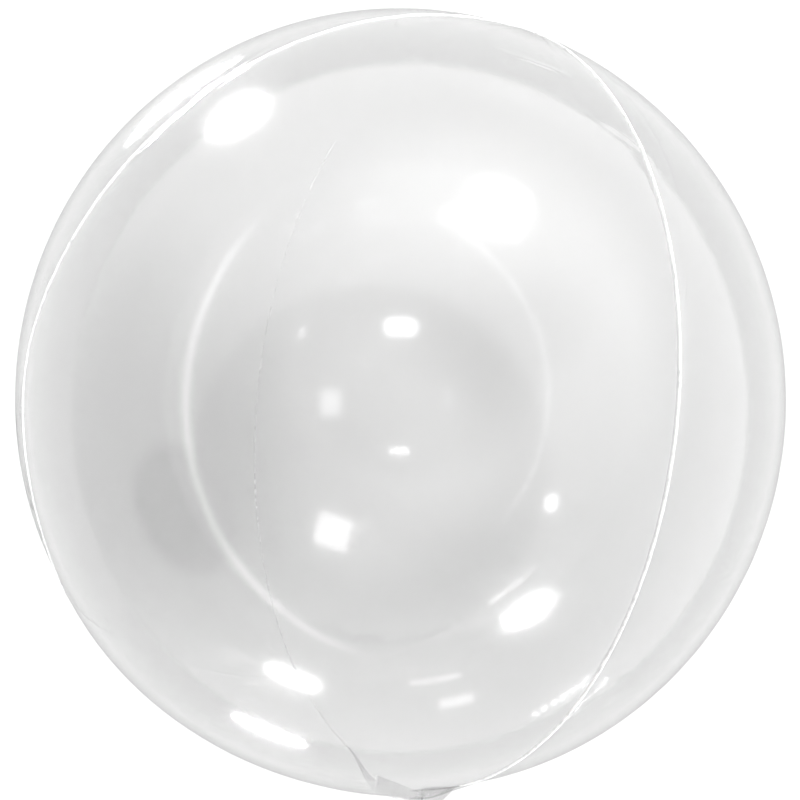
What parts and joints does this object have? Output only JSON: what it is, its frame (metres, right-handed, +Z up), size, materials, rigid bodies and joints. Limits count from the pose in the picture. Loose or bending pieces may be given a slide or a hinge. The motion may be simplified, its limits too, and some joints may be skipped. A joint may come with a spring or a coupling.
{
  "type": "clear bubble balloon",
  "caption": "Clear film balloon, an inflated ball of four heat-sealed gores with raised weld seams, a short flat inflation tail set in one seam and a small hang ear set in another, lying on its side.",
  "frame": {"origin": "centre of the small flat spot that the balloon lies on", "axes": "+Z up, away from the flat spot; +Y away from the inflation tail, along the ball's longest way; +X to the right when seen from above with the tail at the bottom"},
  "size_m": [0.3792, 0.3954, 0.3785],
  "materials": {
    "clear_film": "blown clear polymer film, glossy, colourless with a faint cool grey cast",
    "welded_film": "two or more layers of clear film heat-sealed together, slightly milky and less glossy"
  },
  "bodies": {
    "root": {"gore_right": "clear_film", "gore_bottom": "clear_film", "gore_left": "clear_film", "gore_top": "clear_film", "inflation_tail": "welded_film", "hang_ear": "welded_film"}
  },
  "joints": []
}
